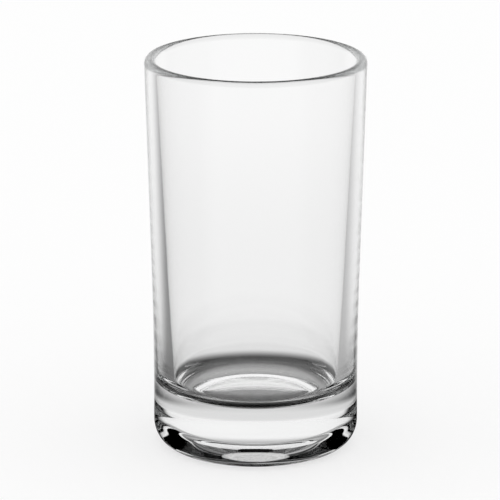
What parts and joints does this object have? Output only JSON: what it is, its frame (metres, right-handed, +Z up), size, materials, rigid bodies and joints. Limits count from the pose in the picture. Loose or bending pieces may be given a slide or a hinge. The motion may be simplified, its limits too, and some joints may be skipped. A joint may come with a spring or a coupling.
{
  "type": "drinking tumbler",
  "caption": "Tall straight-sided clear glass tumbler with a gently flared wall, rounded lip, thick solid base, round heel and recessed underside; holds a drink and stands on a table.",
  "frame": {"origin": "middle of the base, on the table plane that the standing ring rests on", "axes": "+Z up along the axis of the glass, X and Y level; the glass is round, so X and Y are free"},
  "size_m": [0.064, 0.064, 0.1155],
  "materials": {
    "clear_glass": "polished clear pressed glass, fire-polished lip, faint scuffs on the standing ring"
  },
  "bodies": {
    "root": {"tumbler": "clear_glass"}
  },
  "joints": []
}
